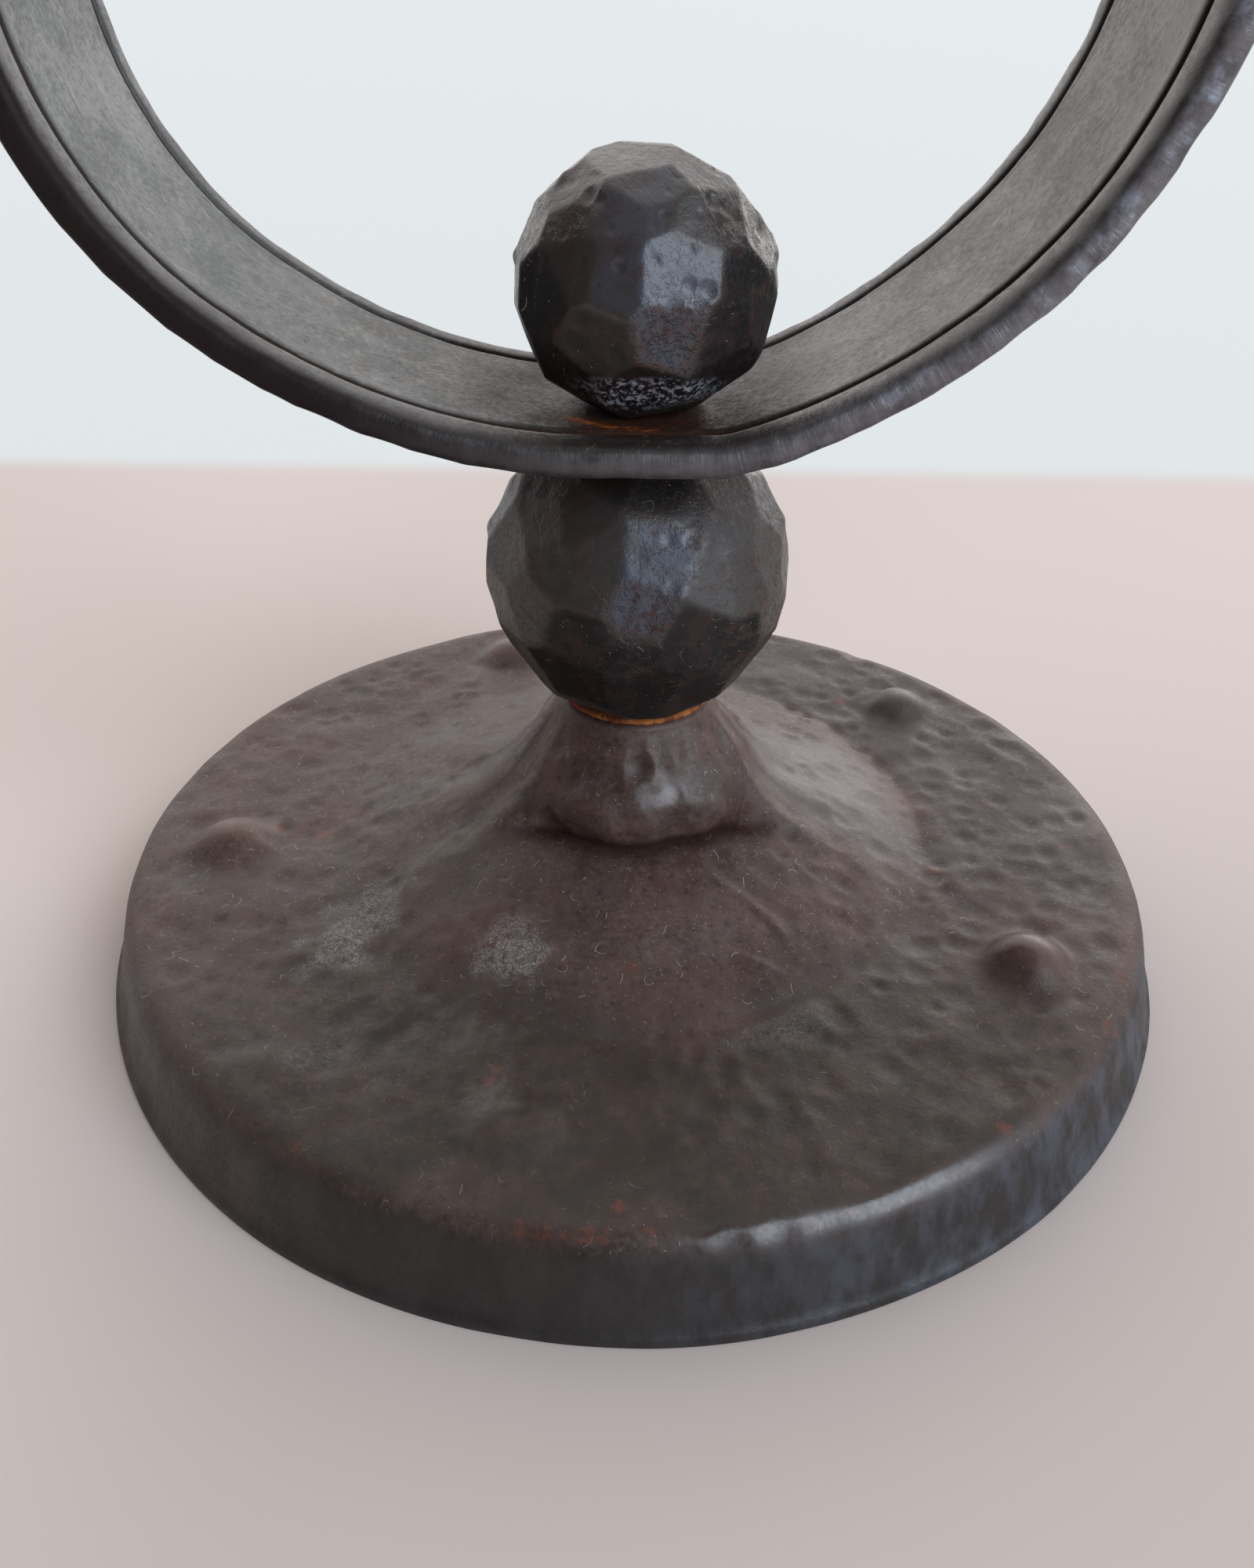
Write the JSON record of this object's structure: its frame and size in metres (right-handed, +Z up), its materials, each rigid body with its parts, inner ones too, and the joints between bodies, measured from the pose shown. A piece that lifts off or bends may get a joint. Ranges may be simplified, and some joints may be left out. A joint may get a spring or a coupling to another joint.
{
  "type": "candle holder",
  "caption": "Double-arm candle holder in hammered iron: raised round foot, faceted ball stem and a U-shaped arm bar carrying candle cups on drip pans.",
  "frame": {"origin": "on the ground at the centre of the foot, under the tie rod", "axes": "+Z up; the arms spread along X; the front, as pictured, is -Y"},
  "size_m": [0.2046, 0.12, 0.1442],
  "materials": {
    "base_iron": "hammered, waxed brown-black patina, satin",
    "ball_iron": "hammered facets, black-brown patina, semi-gloss",
    "arm_iron": "forged bar, grey-brown patina with chased edge lines",
    "pan_iron": "hammered sheet, brown-black patina",
    "rusted_iron": "orange-brown rust, matt",
    "plain_steel": "bare steel, dull"
  },
  "bodies": {
    "root": {"base_plate": "base_iron", "base_washer": "plain_steel", "base_nut": "plain_steel", "tie_rod": "plain_steel", "seat_ring": "rusted_iron", "lower_ball": "ball_iron", "arm_bar": "arm_iron", "upper_ball": "ball_iron", "left_drip_pan": "pan_iron", "left_candle_cup": "pan_iron", "left_rivet": "ball_iron", "right_drip_pan": "pan_iron", "right_candle_cup": "pan_iron", "right_rivet": "ball_iron"}
  },
  "joints": []
}
